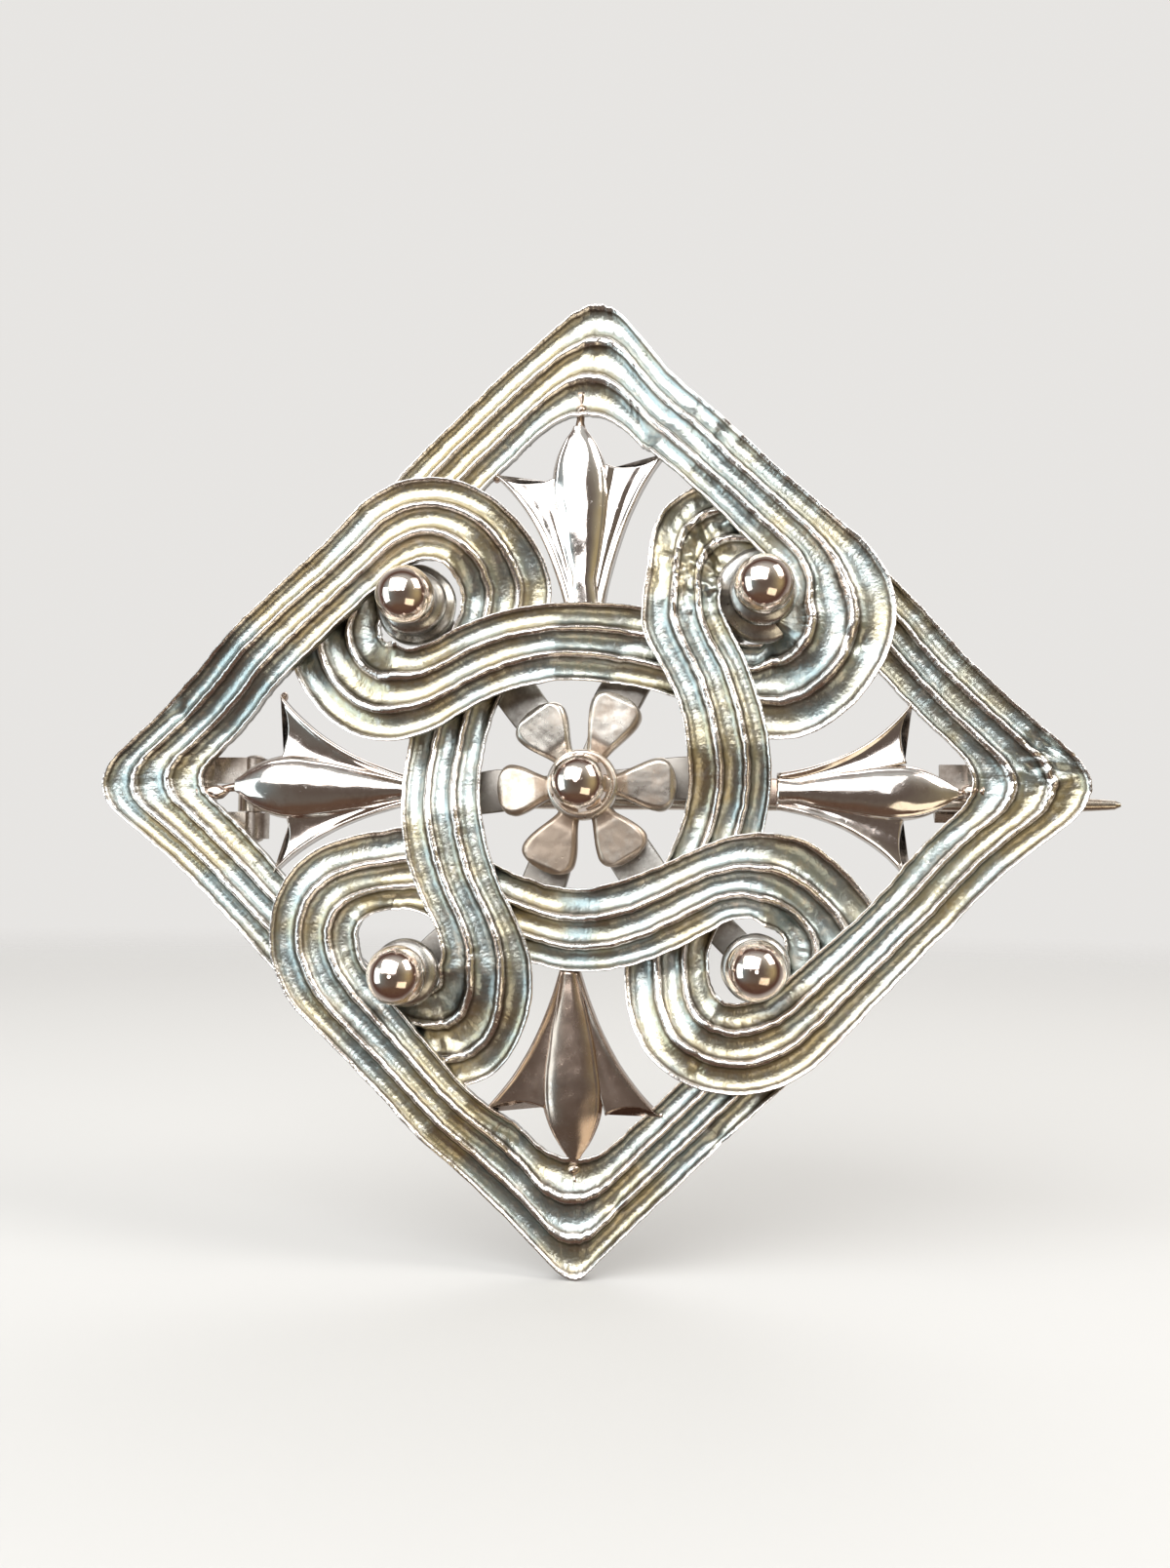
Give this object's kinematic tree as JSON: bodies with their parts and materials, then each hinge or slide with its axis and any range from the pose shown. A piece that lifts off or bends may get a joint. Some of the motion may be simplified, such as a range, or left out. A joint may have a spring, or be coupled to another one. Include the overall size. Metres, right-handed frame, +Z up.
{
  "type": "brooch",
  "caption": "Square openwork interlace brooch with leaf fillers, beads and a rosette, and a hinged pin with a hook catch at the back.",
  "frame": {"origin": "centre of the brooch on the back plane of its straps, where the cloth it is worn on lies", "axes": "as worn: +Z up to the top corner, +X to the viewer's right, towards the catch and the pin's point, -Y out of the decorated face, +Y out of the back"},
  "size_m": [0.0525, 0.0084, 0.05],
  "materials": {
    "strap_silver": "cast silver, dark oxide in the flutes, ridges worn bright",
    "leaf_silver": "polished silver with a warm tarnish",
    "bead_silver": "bright polished silver",
    "finding_silver": "dull filed silver with solder",
    "pin_metal": "drawn wire, lightly tarnished"
  },
  "bodies": {
    "brooch": {"strap_loop_top": "strap_silver", "strap_loop_left": "strap_silver", "strap_loop_bottom": "strap_silver", "strap_loop_right": "strap_silver", "palmette_top": "leaf_silver", "palmette_left": "leaf_silver", "palmette_bottom": "leaf_silver", "palmette_right": "leaf_silver", "bead_post_upper_left": "finding_silver", "bead_post_lower_left": "finding_silver", "bead_post_lower_right": "finding_silver", "bead_post_upper_right": "finding_silver", "bead_upper_left": "bead_silver", "bead_lower_left": "bead_silver", "bead_lower_right": "bead_silver", "bead_upper_right": "bead_silver", "rosette_bridge": "finding_silver", "rosette": "leaf_silver", "rosette_bead": "bead_silver", "hinge_plate": "finding_silver", "hinge_knuckle_upper": "finding_silver", "hinge_knuckle_lower": "finding_silver", "hinge_rivet": "finding_silver", "catch_plate": "finding_silver", "catch_hook": "finding_silver"},
    "pin": {"pin_knuckle": "pin_metal", "pin_stem": "pin_metal"}
  },
  "joints": [
    {"name": "pin_hinge", "type": "hinge", "parent": "brooch", "child": "pin", "pos_m": [-0.018, 0.00175, -0.001], "axis": [0, 0, 1], "range_deg": [0, 120]}
  ]
}
